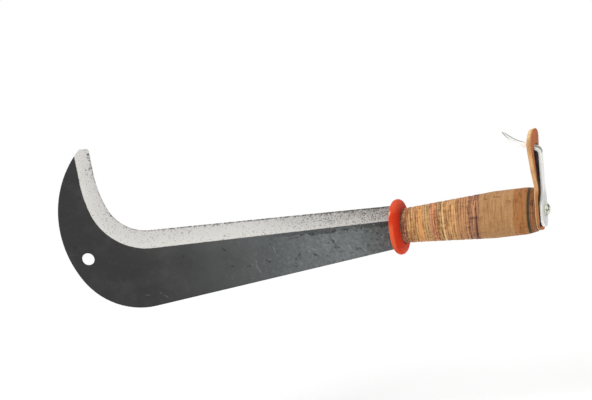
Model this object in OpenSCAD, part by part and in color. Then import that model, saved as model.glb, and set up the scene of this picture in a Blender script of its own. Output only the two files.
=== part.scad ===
// Billhook with a through tang, a stacked leather handle and a belt hook.
// +X runs along the handle towards the butt, +Z is the cutting side, and the blade lies in the
// XZ plane. The origin is on the handle's axis, where the leather starts in the guard's seat.

/* [Blade] */
// Height of the blade where it meets the guard
heel_h = 35.4; // [28:0.2:40]
// Length of the straight edge, from the guard to the throat
edge_len = 201.2; // [150:0.1:260]
// Angle by which the straight edge rises towards the nose
edge_rise = 1.25; // [0:0.05:3]
// Radius of the edge in the throat
throat_r = 35; // [28:0.5:42]
// Angle turned by the throat
throat_turn = 68; // [60:0.5:74]
// Radius of the edge along the inside of the beak
beak_r = 93; // [70:1:130]
// Angle turned along the inside of the beak
beak_turn = 19; // [12:0.5:24]
// Straight edge left at the end of the beak
beak_len = 19; // [12:0.5:24]
// Radius of the blunt point
tip_r = 2.6; // [1.5:0.1:4]
// Angle turned round the blunt point
tip_turn = 78; // [60:1:88]
// Radius of the outer nose
nose_r = 89.7; // [80:0.1:100]
// How far the nose centre lies behind the start of the throat
nose_back = 15.8; // [10:0.2:22]
// How far the nose centre lies above the start of the throat
nose_up = 9.9; // [4:0.1:14]
// Direction from the nose centre where the nose arc ends, at the beak
nose_end = 134; // [130:0.5:138]
// Direction from the nose centre where the nose arc runs into the belly
belly_start = 210.5; // [204:0.5:216]
// Radius of the belly
belly_r = 58.4; // [48:0.2:66]
// Thickness of the blade at the guard
heel_t = 5.4; // [5.2:0.1:6.5]
// Thickness of the blade at the nose
nose_t = 3; // [2:0.1:4]
// Diameter of the hanging hole
hole_d = 10.6; // [8:0.2:14]
// Distance from the hanging hole's centre to the nose's outline
hole_inset = 13.9; // [11:0.1:18]
// Direction from the nose centre to the hanging hole
hole_dir = 201.7; // [196:0.1:208]

/* [Edge bevel] */
// Width of the ground bevel at the guard
bevel_heel = 11.5; // [8:0.1:12]
// Width of the ground bevel where the throat starts
bevel_bend = 14.9; // [10:0.1:16]
// Width of the ground bevel where the throat ends
bevel_throat = 14.4; // [10:0.1:16]
// Width of the ground bevel at the beak
bevel_beak = 12.5; // [9:0.1:14]
// Thickness left along the cutting edge
edge_t = 0.5; // [0.3:0.05:0.8]

/* [Tang] */
// Height of the tang
tang_h = 9; // [7:0.1:11]
// Thickness of the tang
tang_t = 5; // [4.9:0.1:5.2]
// Diameter of the round end that goes through the hook's plate
tang_end_d = 4.8; // [4:0.1:5]
// Diameter of the peened head
head_d = 10.5; // [8:0.1:13]
// Height of the peened head
head_h = 3.4; // [2:0.1:4.5]
// Diameter of the flat that the hammer leaves on the head
head_flat_d = 3; // [2:0.1:5]

/* [Guard] */
// Diameter of the guard
guard_d = 45.2; // [40:0.2:54]
// Thickness of the guard, with a fully round rim
guard_t = 6.75; // [6:0.05:10]
// Depth of the seat for the leather in the guard's rear face
seat_depth = 1.1; // [0.4:0.1:1.5]

/* [Leather stack] */
// Diameter of the handle at the guard
grip_front_d = 27.4; // [24:0.2:32]
// Diameter of the handle at the butt
grip_rear_d = 37.8; // [34:0.1:42]
// Length over which the handle widens
grip_taper_len = 77; // [50:1:95]
// Length of the rounding at the butt
butt_round_len = 16; // [10:0.5:24]
// Radius of the rounding at the butt
butt_round_r = 50; // [35:1:90]
// Angle by which the washers lean back at the butt
butt_tilt = 4.3; // [1:0.1:6]
// Where the washers start to lean
lean_start = 32; // [10:1:40]
// Length over which the washers take up their lean
lean_len = 30; // [20:1:60]
// Thickness of the thin washers in the front half
thin_t = 1.95; // [1.5:0.05:2.6]
// Thickness of the brown washers in the middle
brown_t = 2.7; // [2:0.1:3.5]
// Thickness of the broad pale washers
pale_t = 4.8; // [3.5:0.1:6]
// Thickness of the orange washers
orange_t = 5.4; // [4:0.1:7]
// Thickness of the black washer
black_t = 2.9; // [2:0.1:4]
// Thickness of the red-brown washer in front of the tongue
russet_t = 4; // [3:0.1:5]

/* [Tongue] */
// Thickness of the tongue's leather
tongue_t = 4; // [3:0.1:5]
// Width of the tongue at its top
tongue_w = 32; // [28:0.5:34]
// Width of the tongue on the handle's axis
tongue_root_w = 30; // [26:0.5:31]
// Height of the tongue above the handle's axis
tongue_h = 66.5; // [62:0.5:75]
// Height of the rounded end of the tongue
tongue_end_h = 9; // [6:0.5:10]
// Height at which the tongue starts to bend upright
tongue_bend_h = 18.5; // [18:0.5:22]
// Radius of the tongue's bend
tongue_bend_r = 60; // [30:5:120]

/* [Belt hook] */
// Diameter of the plate under the peened head
plate_d = 29.4; // [26:0.2:31]
// Thickness of the plate
plate_t = 2.4; // [1.8:0.1:3]
// Height where the neck leaves the round plate
neck_low = 10.6; // [9:0.2:12]
// Width of the neck where it leaves the round plate
neck_w = 17.6; // [15:0.2:18.4]
// Height where the neck has narrowed to the arm
neck_h = 20; // [18:0.5:24]
// Width of the arm
arm_w = 9; // [7:0.2:11]
// Thickness of the arm
arm_t = 2.4; // [2:0.1:3.2]
// Length of the arm, from the plate's neck to the bend
arm_len = 36.4; // [32:0.2:38]
// Radius of the bend, along the middle of the strip
bend_r = 4.2; // [3:0.1:6]
// Slope of the strip where it passes through the tongue
reach_slope = 21.5; // [10:0.5:26]
// Length of the strip from the bend to the prong's curve
reach_len = 13.6; // [11:0.2:18]
// Radius of the prong's upward curve
prong_r = 20; // [14:0.5:30]
// Angle of the prong's upward curve
prong_turn = 27; // [15:0.5:35]
// Straight length at the end of the prong
prong_len = 8; // [5:0.2:12]
// Thickness of the prong at its point
prong_tip_t = 0.9; // [0.6:0.1:2]
// Width of the prong half way along it
prong_w = 10.4; // [8:0.2:12]
// Width left at the prong's point
prong_tip_w = 1.6; // [1:0.1:3]

/* [Fits] */
// Clearance round the tang in the leather and the guard
tang_gap = 0.15; // [0.05:0.05:0.4]
// Clearance round the tang's end in the plate
end_gap = 0.1; // [0.05:0.05:0.3]
// Clearance round the leather in the guard's seat
seat_gap = 0.6; // [0.3:0.1:1]
// Clearance round the strip in the tongue's slot
slot_gap = 0.4; // [0.3:0.1:0.8]

/* [Hidden] */
$fn = 96;
// Angle between the points of an arc
arc_step = 4;
// Points along a straight stretch, and along a curve that follows a formula
line_steps = 6;
curve_steps = 12;
// How far a cut runs past the face that it opens
over = 1;

// Leather tones, as red, green and blue
tan_tone = [0.74, 0.55, 0.35];
fawn_tone = [0.73, 0.53, 0.37];
honey_tone = [0.82, 0.58, 0.33];
olive_tone = [0.67, 0.52, 0.33];
plum_tone = [0.57, 0.38, 0.32];
salmon_tone = [0.75, 0.49, 0.35];
straw_tone = [0.86, 0.69, 0.42];
brown_tone = [0.64, 0.46, 0.32];
umber_tone = [0.5, 0.34, 0.27];
pale_tone = [0.72, 0.54, 0.36];
orange_tone = [0.67, 0.45, 0.27];
black_tone = [0.33, 0.27, 0.21];
russet_tone = [0.6, 0.39, 0.26];
steel_tone = [0.25, 0.25, 0.26];
bright_tone = [0.88, 0.89, 0.88];
guard_tone = [0.84, 0.24, 0.13];

// The washers from the guard to the tongue: how many alike, their thickness and their tone
stack = [
    [1, thin_t, umber_tone],
    [2, thin_t, plum_tone],
    [5, thin_t, tan_tone],
    [2, thin_t, honey_tone],
    [3, thin_t, olive_tone],
    [1, thin_t, plum_tone],
    [2, thin_t, salmon_tone],
    [2, thin_t, olive_tone],
    [1, thin_t, straw_tone],
    [5, thin_t, tan_tone],
    [4, thin_t, fawn_tone],
    [1, brown_t, brown_tone],
    [1, brown_t, umber_tone],
    [1, brown_t, brown_tone],
    [1, brown_t, umber_tone],
    [6, pale_t, pale_tone],
    [2, orange_t, orange_tone],
    [1, black_t, black_tone],
    [1, russet_t, russet_tone],
];
washers = [for (batch = stack) for (k = [1 : batch[0]]) [batch[1], batch[2]]];
washer_count = len(washers);

// Where the first n washers end along the handle
function stack_x(n) = n == 0 ? 0 : stack_x(n - 1) + washers[n - 1][0];
tongue_x = stack_x(washer_count);
plate_x = tongue_x + tongue_t;

// Radius of the handle at a place along it: a widening grip, then a rounded butt
butt_round_x = plate_x - butt_round_len;
function round_drop(x) = butt_round_r - sqrt(pow(butt_round_r, 2) - pow(max(0, x - butt_round_x), 2));
function grip_share(x) = min(1, x / grip_taper_len);
function grip_r(x) = (grip_front_d + (grip_rear_d - grip_front_d) * grip_share(x)) / 2 - round_drop(x);

// The faces between the washers: square to the axis at the guard, leaning back at the butt
function seam_tilt(x) = butt_tilt * min(1, max(0, (x - lean_start) / lean_len));
function seam_at(x, z) = [x + z * tan(seam_tilt(x)), z];

// A place on the hook's plate, out from its front face and up from the axis
function on_plate(out, up) =
    [plate_x + out * cos(butt_tilt) + up * sin(butt_tilt), up * cos(butt_tilt) - out * sin(butt_tilt)];

// Steps along a path in the XZ plane: a step is [point, heading], and a right turn is negative
function ahead(step, length) = [step[0] + length * [cos(step[1]), sin(step[1])], step[1]];
function left_of(step) = [-sin(step[1]), cos(step[1])];
function turned(step, radius, angle) =
    let(side = sign(angle) * radius, centre = step[0] + side * left_of(step), heading = step[1] + angle)
    [centre - side * [-sin(heading), cos(heading)], heading];
function along_line(step, length) = [for (k = [1 : line_steps]) ahead(step, length * k / line_steps)];
function along_arc(step, radius, angle) =
    let(count = ceil(abs(angle) / arc_step))
    [for (k = [1 : count]) turned(step, radius, angle * k / count)];
function points(steps) = [for (s = steps) s[0]];
function last(list) = list[len(list) - 1];

// The cutting edge, as steps from the guard to the point
heel_x = seat_depth - guard_t;
heel = [[heel_x, heel_h / 2], 180 - edge_rise];
straight_steps = concat([heel], along_line(heel, edge_len));
throat_steps = along_arc(last(straight_steps), throat_r, -throat_turn);
beak_steps = along_arc(last(throat_steps), beak_r, -beak_turn);
beak_end_steps = along_line(last(beak_steps), beak_len);
tip_steps = along_arc(last(beak_end_steps), tip_r, tip_turn);

// The outer outline: a belly circle inside a nose circle, and a straight back from the guard
bend = last(straight_steps)[0];
nose_c = bend + [nose_back, nose_up];
function polar(angle, radius) = radius * [cos(angle), sin(angle)];
belly_c = nose_c + polar(belly_start, nose_r - belly_r);
back_heel = [heel_x, -heel_h / 2];
to_belly = belly_c - back_heel;
back_dir = atan2(to_belly[1], to_belly[0]) + asin(belly_r / norm(to_belly));
belly_end = (back_dir + 90 + 360) % 360;
function arc_points(centre, radius, from, to) =
    let(count = ceil(abs(to - from) / arc_step))
    [for (k = [0 : count]) centre + polar(from + (to - from) * k / count, radius)];
outline = concat(
    points(straight_steps), points(throat_steps), points(beak_steps),
    points(beak_end_steps), points(tip_steps),
    arc_points(nose_c, nose_r, nose_end, belly_start),
    arc_points(belly_c, belly_r, belly_start + arc_step / 2, belly_end),
    [back_heel]
);

// Half the blade's thickness, which tapers from the guard to the nose
nose_x = nose_c[0] - nose_r;
function half_t(x) = (heel_t + (nose_t - heel_t) * (heel_x - x) / (heel_x - nose_x)) / 2;

// The bevel's width at each step of the cutting edge, with one step past each end of it
function ramp(from, to, count) = [for (k = [1 : count]) from + (to - from) * k / count];
before_heel = ahead(heel, -over);
past_tip = ahead(last(beak_end_steps), 2 * bevel_beak);
bevel_steps = concat([before_heel], straight_steps, throat_steps, beak_steps, beak_end_steps, [past_tip]);
bevel_widths = concat(
    [bevel_heel, bevel_heel],
    ramp(bevel_heel, bevel_bend, len(straight_steps) - 1),
    ramp(bevel_bend, bevel_throat, len(throat_steps)),
    ramp(bevel_throat, bevel_beak, len(beak_steps)),
    [for (s = beak_end_steps) bevel_beak],
    [bevel_beak]
);

// The tongue's tab, as steps up from the axis: it leaves the leaning butt and then stands upright
tongue_half_t = tongue_t * cos(butt_tilt) / 2;
tongue_root = [[tongue_x + tongue_t / 2, 0], 90 - butt_tilt];
tongue_bend = ahead(tongue_root, tongue_bend_h);
tongue_bend_steps = along_arc(tongue_bend, tongue_bend_r, butt_tilt);
tab_x = last(tongue_bend_steps)[0][0];
tongue_steps = concat([tongue_root, tongue_bend], tongue_bend_steps, [[[tab_x, tongue_h], 90]]);

// The hook's strip, as steps from inside the plate to the point of the prong
arm_start = [on_plate(arm_t / 2, neck_low), 90 - butt_tilt];
arm_end = ahead(arm_start, arm_len);
bend_steps = along_arc(arm_end, bend_r, 90 + butt_tilt - reach_slope);
reach_steps = along_line(last(bend_steps), reach_len);
prong_steps = along_arc(last(reach_steps), prong_r, -prong_turn);
prong_end_steps = along_line(last(prong_steps), prong_len);
prong_x = last(prong_end_steps)[0][0];
even_steps = concat([arm_start, arm_end], bend_steps);
thinning_steps = concat(reach_steps, prong_steps, prong_end_steps);

// Where the strip passes through the tongue's tab, from its lowest to its highest point
reach_start = last(bend_steps)[0];
function reach_z(x) = reach_start[1] + (reach_start[0] - x) * tan(reach_slope);
strip_half_h = arm_t / 2 / cos(reach_slope);
slot_low = reach_z(tab_x + tongue_half_t) - strip_half_h - slot_gap;
slot_high = reach_z(tab_x - tongue_half_t) + strip_half_h + slot_gap;

function washer_name(i) = str("washer_", i < 9 ? "0" : "", i + 1);

// A flat shape in the XZ plane, given a width along Y
module upright(width) {
    rotate([90, 0, 0])
        linear_extrude(width, center = true)
            children();
}

// A flat shape in the YZ plane, given a thickness along +X from x
module across(x, thickness) {
    translate([x, 0, 0])
        rotate([90, 0, 90])
            linear_extrude(thickness)
                children();
}

// A profile of radius over distance, turned about the handle's axis
module turned_on_axis() {
    rotate([0, 90, 0])
        rotate_extrude()
            children();
}

// Places a shape on the leaning butt, with the plate's front face at x = 0
module at_butt() {
    translate([plate_x, 0, 0])
        rotate([0, butt_tilt, 0])
            children();
}

// The tang's section between two places, larger all round by a gap
module tang_bar(from, to, gap) {
    translate([from, -tang_t / 2 - gap, -tang_h / 2 - gap])
        cube([to - from, tang_t + 2 * gap, tang_h + 2 * gap]);
}

// The tang's round end through the plate, larger all round by a gap
module tang_end(from, to, gap) {
    translate([from, 0, 0])
        rotate([0, 90, 0])
            cylinder(d = tang_end_d + 2 * gap, h = to - from);
}

// A strip seen from the side: steps along its middle, and half its thickness at each step
module strip(steps, halves) {
    count = len(steps);
    one_side = [for (k = [0 : count - 1]) steps[k][0] + halves[k] * left_of(steps[k])];
    other_side = [for (k = [count - 1 : -1 : 0]) steps[k][0] - halves[k] * left_of(steps[k])];
    polygon(concat(one_side, other_side));
}

// What the grinding takes off one face along the cutting edge. Each section of it starts outside the
// edge, goes up the bevel from the edge to past the blade's face, and comes back above the face.
module bevel_cut(face) {
    count = len(bevel_steps);
    corners = [
        for (k = [0 : count - 1])
            let(
                edge = bevel_steps[k][0],
                inward = left_of(bevel_steps[k]),
                width = bevel_widths[k],
                top = half_t(edge[0] + width * inward[0]),
                slope = (top - edge_t / 2) / width,
                outside = edge - over * inward,
                inside = edge + (width + over) * inward
            )
            each [
                [outside[0], face * edge_t / 2, outside[1]],
                [edge[0], face * edge_t / 2, edge[1]],
                [inside[0], face * (top + slope * over), inside[1]],
                [outside[0], face * heel_t, outside[1]]
            ]
    ];
    sides = [
        for (k = [0 : count - 2])
            for (j = [0 : 3])
                let(a = 4 * k + j, b = 4 * k + (j + 1) % 4)
                each [[a, b, a + 4], [b, b + 4, a + 4]]
    ];
    end = 4 * (count - 1);
    ends = [[3, 2, 1], [3, 1, 0], [end, end + 1, end + 3], [end + 1, end + 2, end + 3]];
    polyhedron(corners, [for (f = concat(sides, ends)) face > 0 ? f : [f[2], f[1], f[0]]]);
}

module blade_plate() {
    intersection() {
        upright(2 * heel_t)
            polygon(outline);
        translate([0, 0, -nose_r - belly_r])
            linear_extrude(4 * nose_r)
                polygon([
                    [heel_x, half_t(heel_x)],
                    [nose_x - over, half_t(nose_x - over)],
                    [nose_x - over, -half_t(nose_x - over)],
                    [heel_x, -half_t(heel_x)]
                ]);
    }
}

module peened_head() {
    rim_r = head_d / 2;
    dome_c = (pow(head_flat_d / 2, 2) + pow(head_h, 2) - pow(rim_r, 2)) / (2 * head_h);
    dome_r = norm([rim_r, dome_c]);
    at_butt()
        translate([plate_t, 0, 0])
            turned_on_axis()
                intersection() {
                    translate([0, dome_c])
                        circle(dome_r);
                    square([head_d, head_h]);
                }
}

// Forged blade, tang and peened head, in one piece
module blade() {
    hole_c = nose_c + polar(hole_dir, nose_r - hole_inset);
    tang_x = plate_x - tang_h / 2 * tan(butt_tilt);
    color(steel_tone) {
        difference() {
            blade_plate();
            bevel_cut(-1);
            bevel_cut(1);
            translate([hole_c[0], 0, hole_c[1]])
                rotate([90, 0, 0])
                    cylinder(d = hole_d, h = 2 * heel_t, center = true);
        }
        tang_bar(heel_x - over, tang_x, 0);
        tang_end(tang_x - over, plate_x + plate_t + head_h / 2, 0);
        peened_head();
    }
}

// Moulded ring with a round rim, a seat for the leather and a slot for the tang
module guard() {
    rim_r = guard_t / 2;
    rim_c = guard_d / 2 - rim_r;
    seat_r = grip_front_d / 2 + seat_gap;
    color(guard_tone)
        difference() {
            translate([heel_x, 0, 0])
                turned_on_axis()
                    difference() {
                        union() {
                            square([rim_c, guard_t]);
                            translate([rim_c, rim_r])
                                intersection() {
                                    circle(rim_r);
                                    translate([-rim_r / 2, -rim_r])
                                        square([2 * rim_r, guard_t]);
                                }
                        }
                        translate([0, guard_t - seat_depth])
                            square([seat_r, seat_depth + over]);
                    }
            tang_bar(heel_x - over, seat_depth + over, tang_gap);
        }
}

// The handle's round body, before it is divided into washers
module grip_body() {
    past_butt = plate_x + grip_rear_d / 2 * tan(butt_tilt);
    places = concat([0, grip_taper_len, butt_round_x], ramp(butt_round_x, past_butt, curve_steps));
    turned_on_axis()
        polygon(concat([[0, 0]], [for (x = places) [grip_r(x), x]], [[0, past_butt]]));
}

// One layer of the handle, between two faces that may lean
module leather_layer(from, to) {
    reach = grip_rear_d;
    intersection() {
        grip_body();
        upright(2 * reach)
            polygon([seam_at(from, -reach), seam_at(to, -reach), seam_at(to, reach), seam_at(from, reach)]);
    }
}

// One leather washer of the stack
module washer(i) {
    from = stack_x(i);
    to = stack_x(i + 1);
    color(washers[i][1])
        difference() {
            leather_layer(from, to);
            tang_bar(from - over, to + over, tang_gap);
        }
}

// Side and rounded end of the tongue's tab, in the YZ plane
module tongue_outline() {
    half_w = tongue_w / 2;
    shoulder = tongue_h - tongue_end_h;
    polygon(concat(
        [[-tongue_root_w / 2, 0], [tongue_root_w / 2, 0]],
        [for (a = [0 : 2 * arc_step : 180]) [half_w * cos(a), shoulder + tongue_end_h * sin(a)]]
    ));
}

// Slot that the hook's strip passes through, in the YZ plane
module tongue_slot() {
    translate([-arm_w / 2 - slot_gap, slot_low])
        square([arm_w + 2 * slot_gap, slot_high - slot_low]);
}

// Last washer of the stack, with a tab that stands up beside the handle
module tongue() {
    color(orange_tone)
        difference() {
            union() {
                leather_layer(tongue_x, plate_x);
                intersection() {
                    upright(2 * tongue_w)
                        strip(tongue_steps, [for (s = tongue_steps) tongue_half_t]);
                    across(tongue_x - tongue_w, 2 * tongue_w)
                        tongue_outline();
                }
            }
            across(tab_x - tongue_w, 2 * tongue_w)
                tongue_slot();
            tang_bar(tongue_x - over, plate_x + over, tang_gap);
        }
}

// Plan of the hook's strip: a straight arm, then a leaf-shaped prong
module strip_plan() {
    leaf_x = tab_x - tongue_half_t;
    leaf_len = leaf_x - prong_x + over;
    swell = prong_w - (arm_w + prong_tip_w) / 2;
    leaf = [
        for (k = [0 : curve_steps])
            let(share = k / curve_steps)
            [
                leaf_x - leaf_len * share,
                (arm_w + (prong_tip_w - arm_w) * share + swell * sin(180 * share)) / 2
            ]
    ];
    back_x = arm_end[0][0] + 2 * bend_r;
    one_side = concat([[back_x, arm_w / 2]], leaf);
    polygon(concat(one_side, [for (k = [len(one_side) - 1 : -1 : 0]) [one_side[k][0], -one_side[k][1]]]));
}

// Plate of the hook with the neck that narrows to the arm
module plate_outline() {
    circle(d = plate_d);
    polygon([[-neck_w / 2, neck_low], [neck_w / 2, neck_low], [arm_w / 2, neck_h], [-arm_w / 2, neck_h]]);
}

// Plate under the peened head, with its arm and prong in one strip
module belt_hook() {
    thinning = ramp(arm_t, prong_tip_t, len(thinning_steps));
    halves = concat([for (s = even_steps) arm_t / 2], thinning / 2);
    color(bright_tone)
        difference() {
            union() {
                at_butt()
                    across(0, plate_t)
                        plate_outline();
                intersection() {
                    upright(2 * prong_w)
                        strip(concat(even_steps, thinning_steps), halves);
                    linear_extrude(2 * tongue_h)
                        strip_plan();
                }
            }
            tang_end(plate_x - over, plate_x + plate_t + over, end_gap);
        }
}

blade();
guard();
for (i = [0 : washer_count - 1])
    washer(i);
tongue();
belt_hook();
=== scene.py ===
from math import atan2, cos, degrees, pi, radians, sin, sqrt, tan

import bmesh
import bpy
from mathutils import Matrix, Vector, noise


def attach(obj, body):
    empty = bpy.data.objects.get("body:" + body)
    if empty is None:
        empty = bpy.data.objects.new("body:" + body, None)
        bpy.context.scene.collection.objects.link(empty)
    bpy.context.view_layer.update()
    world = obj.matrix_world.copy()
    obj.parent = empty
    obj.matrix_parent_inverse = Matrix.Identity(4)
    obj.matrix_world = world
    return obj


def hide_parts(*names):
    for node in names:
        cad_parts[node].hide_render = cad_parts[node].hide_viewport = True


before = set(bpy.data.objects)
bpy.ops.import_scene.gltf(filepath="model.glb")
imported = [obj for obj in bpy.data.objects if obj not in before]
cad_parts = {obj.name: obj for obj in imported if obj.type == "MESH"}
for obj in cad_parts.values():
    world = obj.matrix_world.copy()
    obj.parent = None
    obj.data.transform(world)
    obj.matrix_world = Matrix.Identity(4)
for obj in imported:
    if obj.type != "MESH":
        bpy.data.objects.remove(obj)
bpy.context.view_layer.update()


# Blade.
# One forging of carbon steel, hammered thinner from the guard to the nose, with black forge scale on
# both faces. The inner edge is ground bright from both sides, from the guard round to the blunt beak.
MM = 0.001
HEEL_X, HEEL_H, HEEL_T, NOSE_T = -5.65, 35.4, 5.4, 3.0
EDGE_LEN, EDGE_RISE, EDGE_T = 201.2, 1.25, 0.5
THROAT_R, THROAT_TURN = 35.0, 68.0
BEAK_R, BEAK_TURN, BEAK_LEN = 93.0, 19.0, 19.0
TIP_R, TIP_TURN = 2.6, 78.0
NOSE_R, NOSE_BACK, NOSE_UP, NOSE_END = 89.7, 15.8, 9.9, 134.0
BELLY_R, BELLY_START = 58.4, 210.5
BEVEL_HEEL, BEVEL_BEND, BEVEL_THROAT, BEVEL_BEAK = 11.5, 14.9, 14.4, 12.5
HOLE_R, HOLE_INSET, HOLE_DIR, RIM_BREAK, DRILL_REACH = 5.3, 13.9, 201.7, 0.4, 4.0
WAVY, WAVE_LEN, BLADE_SOFT_R, FACE_LEAST_Y = 0.07, 22.0, 0.4, 1.3
STRAIGHT_STEPS, THROAT_STEPS, BEAK_STEPS, RUNOUT_STEPS = 48, 24, 10, 6
BELLY_STEPS, TIP_STEPS, FACE_CUTS, HOLE_STEPS = 14, 8, 15, 64
WELD, DRILL_WELD, DRILL_CLEAN = 0.001, 0.02, 0.002
SCALE_BLACK, SCALE_GREY, SCALE_HAZE = (49, 48, 48), (104, 108, 108), (88, 87, 86)
FLECK_PALE, FLECK_DARK, RUBBED_GREY = (138, 146, 147), (56, 56, 56), (128, 136, 138)
SCRATCH_PALE, PIT_BLACK, EDGE_SHADE_DARK = (172, 176, 174), (42, 41, 41), (38, 37, 37)
STEEL_FRONT, STEEL_BACK, STEEL_STROKE = (194, 192, 189), (209, 207, 202), (190, 188, 185)
STEEL_DULL, STEEL_PIT, STEEL_CHIP = (124, 120, 116), (74, 70, 67), (70, 67, 64)
# marks on the faces: x and z of both ends, and half the width
PALE_MARKS = (
    (-122.9, -13.2, -122.8, -19.2, 0.5), (-122.8, -19.2, -120.2, -24.9, 0.45), (-106.8, -3.8, -105.9, -8.8, 0.5),
    (-37.9, -10.8, -31.2, -16.6, 0.35), (-45.4, -9.9, -43.7, -12.7, 0.4), (-16.9, -7.1, -15.2, -4.9, 0.8),
    (-12.3, -8.6, -12.1, -14.0, 0.5), (-81.3, -5.5, -73.2, -10.7, 0.35), (-222.8, 7.7, -220.4, 9.5, 0.5),
    (-218.6, -31.5, -215.6, -32.3, 0.7), (-206.4, -30.9, -200.9, -35.4, 0.6),
)
DARK_MARKS = (
    (-114.7, -14.2, -111.5, -16.0, 1.2), (-143.6, -16.0, -141.6, -16.6, 1.0), (-149.4, -0.2, -146.2, -2.0, 1.2),
    (-47.4, 3.8, -43.3, 3.3, 0.9), (-39.9, 2.9, -36.1, 1.0, 1.0), (-33.8, 2.1, -27.3, -0.1, 0.9),
    (-92.8, 0.9, -85.0, 2.1, 0.8), (-69.7, 2.3, -61.4, 2.7, 0.7), (-90.0, -16.5, -85.2, -12.1, 1.0),
    (-92.9, -21.1, -90.4, -22.9, 0.8), (-20.7, -2.3, -17.0, -4.9, 0.8), (-11.0, -5.0, -10.5, -14.0, 0.8),
)


def way(heading):
    """The direction of a heading in the blade's plane, counted from +X towards +Z."""
    return Vector((cos(radians(heading)), 0, sin(radians(heading))))


def left(heading):
    """The direction to the left of a heading, which is into the steel along the edge."""
    return way(heading + 90)


def draw_line(shape, vert, end, count):
    """Draws on from a vertex to a point in equal steps."""
    start, drawn = vert.co.copy(), []
    for step in range(1, count + 1):
        vert = bmesh.ops.extrude_vert_indiv(shape, verts=[vert])["verts"][0]
        vert.co = start.lerp(end, step / count)
        drawn.append(vert)
    return drawn


def draw_through(shape, vert, points, count=1):
    """Draws on from a vertex through some points, with equal steps between them."""
    drawn = [vert]
    for point in points:
        drawn += draw_line(shape, drawn[-1], point, count)
    return drawn[1:]


def draw_arc(shape, vert, centre, turn, count, axis=(0, -1, 0)):
    """Draws on from a vertex round a centre; in the blade's plane a left turn is positive."""
    known = set(shape.verts)
    bmesh.ops.spin(shape, geom=[vert], cent=centre, axis=axis, angle=radians(turn), steps=count)
    return [v for v in shape.verts if v not in known]


def chain(shape, verts):
    """The edges along a row of vertices."""
    return [shape.edges.get(pair) for pair in zip(verts, verts[1:])]


def whole(shape):
    """All that a shape is made of."""
    return shape.verts[:] + shape.edges[:] + shape.faces[:]


def verts_of(geom):
    """The vertices among what an operator gives back."""
    return [v for v in geom if isinstance(v, bmesh.types.BMVert)]


def ramp(start, end, count):
    """Values from just after start up to end in equal steps."""
    return [start + (end - start) * step / count for step in range(1, count + 1)]


def half_t(x):
    """Half the blade's thickness, which tapers from the guard to the nose."""
    return (HEEL_T + (NOSE_T - HEEL_T) * (HEEL_X - x) / (HEEL_X - nose_c.x + NOSE_R)) / 2


shape = bmesh.new()
edge_way = shape.verts.layers.float_vector.new("edge_way")
heading = 180 - EDGE_RISE
edge = [shape.verts.new((HEEL_X, 0, HEEL_H / 2))]
edge += draw_line(shape, edge[-1], edge[-1].co + EDGE_LEN * way(heading), STRAIGHT_STEPS)
headings = [heading] * len(edge)
nose_c = edge[-1].co + Vector((NOSE_BACK, 0, NOSE_UP))
for radius, turn, count in ((THROAT_R, THROAT_TURN, THROAT_STEPS), (BEAK_R, BEAK_TURN, BEAK_STEPS)):
    edge += draw_arc(shape, edge[-1], edge[-1].co - radius * left(heading), -turn, count)
    headings += ramp(heading, heading - turn, count)
    heading = headings[-1]
widths = [BEVEL_HEEL] + ramp(BEVEL_HEEL, BEVEL_BEND, STRAIGHT_STEPS)
widths += ramp(BEVEL_BEND, BEVEL_THROAT, THROAT_STEPS) + ramp(BEVEL_THROAT, BEVEL_BEAK, BEAK_STEPS)

# the bevel runs out where it reaches the nose's outline, a little before the point
beak_end = edge[-1].co + BEAK_LEN * way(heading)
to_bevel = edge[-1].co + BEVEL_BEAK * left(heading) - nose_c
lead = to_bevel.dot(way(heading))
run = sqrt(lead ** 2 - to_bevel.length_squared + NOSE_R ** 2) - lead
edge += draw_line(shape, edge[-1], edge[-1].co + run * way(heading), RUNOUT_STEPS)
headings += [heading] * RUNOUT_STEPS
widths += [BEVEL_BEAK] * RUNOUT_STEPS
copied = bmesh.ops.duplicate(shape, geom=edge + chain(shape, edge))["vert_map"]
bevel = [copied[v] for v in edge]
for vert, turned, width in zip(bevel, headings, widths):
    vert.co += width * left(turned)
meet = bevel[-1].co - nose_c
meet_dir = degrees(atan2(meet.z, meet.x))

# the back, the belly and the nose, up to where the bevel meets them
belly_c = nose_c + (NOSE_R - BELLY_R) * way(BELLY_START)
outer = [shape.verts.new((HEEL_X, 0, -HEEL_H / 2))]
to_belly = belly_c - outer[0].co
back_len = sqrt(to_belly.length_squared - BELLY_R ** 2)
back_dir = degrees(atan2(to_belly.z, to_belly.x)) + degrees(atan2(BELLY_R, back_len))
outer += draw_line(shape, outer[0], belly_c + BELLY_R * left(back_dir), STRAIGHT_STEPS)
outer += draw_arc(shape, outer[-1], belly_c, BELLY_START - (back_dir + 90) % 360, BELLY_STEPS)
nose_steps = len(edge) - len(outer)
nose_turn = (meet_dir - BELLY_START) * (nose_steps - 1) / nose_steps
outer += draw_arc(shape, outer[-1], nose_c, nose_turn, nose_steps - 1)
tip = draw_line(shape, edge[-1], beak_end, 1)
tip += draw_arc(shape, tip[-1], beak_end + TIP_R * left(heading), TIP_TURN, TIP_STEPS)
tip += draw_line(shape, tip[-1], nose_c + NOSE_R * way(NOSE_END), 1)
tip += draw_arc(shape, tip[-1], nose_c, (meet_dir - NOSE_END) / 2, 1)

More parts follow.
